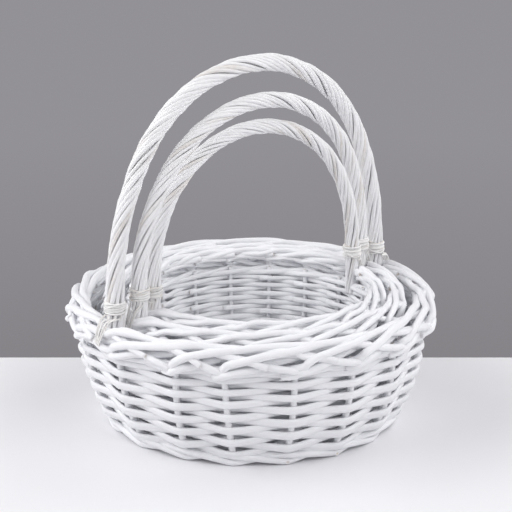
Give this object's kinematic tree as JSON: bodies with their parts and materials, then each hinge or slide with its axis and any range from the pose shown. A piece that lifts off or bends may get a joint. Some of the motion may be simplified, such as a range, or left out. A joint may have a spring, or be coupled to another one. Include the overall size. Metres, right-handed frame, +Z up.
{
  "type": "nest of wicker baskets",
  "caption": "Nest of round woven willow baskets painted white, each with a tall roped hoop handle, a rolled border and a flat woven base.",
  "frame": {"origin": "on the ground at the centre of the large basket's foot", "axes": "+Z up; +X along the span of the handles, which arch over in planes parallel to XZ; the set is seen from the -Y side with +X to the right and further away"},
  "size_m": [0.4, 0.4, 0.3982],
  "materials": {
    "weave_willow": "white painted willow rods, satin, grain showing through",
    "handle_willow": "white painted thin willow rods, roped, satin, worn to beige in places",
    "binding_skein": "split willow skein, thin white paint worn to beige",
    "core_willow": "bare willow rod"
  },
  "bodies": {
    "large_basket": {"large_base_sticks": "weave_willow", "large_base_weave": "weave_willow", "large_foot_wale": "weave_willow", "large_stakes": "weave_willow", "large_side_weave": "weave_willow", "large_top_wale": "weave_willow", "large_border": "weave_willow", "large_handle_core": "core_willow", "large_handle_wrap": "handle_willow", "large_left_binding": "binding_skein", "large_right_binding": "binding_skein"},
    "medium_basket": {"medium_base_sticks": "weave_willow", "medium_base_weave": "weave_willow", "medium_foot_wale": "weave_willow", "medium_stakes": "weave_willow", "medium_side_weave": "weave_willow", "medium_top_wale": "weave_willow", "medium_border": "weave_willow", "medium_handle_core": "core_willow", "medium_handle_wrap": "handle_willow", "medium_left_binding": "binding_skein", "medium_right_binding": "binding_skein"},
    "small_basket": {"small_base_sticks": "weave_willow", "small_base_weave": "weave_willow", "small_foot_wale": "weave_willow", "small_stakes": "weave_willow", "small_side_weave": "weave_willow", "small_top_wale": "weave_willow", "small_border": "weave_willow", "small_handle_core": "core_willow", "small_handle_wrap": "handle_willow", "small_left_binding": "binding_skein", "small_right_binding": "binding_skein"}
  },
  "joints": [
    {"name": "medium_lift", "type": "slide", "parent": "large_basket", "child": "medium_basket", "axis": [0, 0, 1], "range_m": [0, 0.021]},
    {"name": "small_lift", "type": "slide", "parent": "medium_basket", "child": "small_basket", "axis": [0, 0, 1], "range_m": [0, 0.012]}
  ]
}
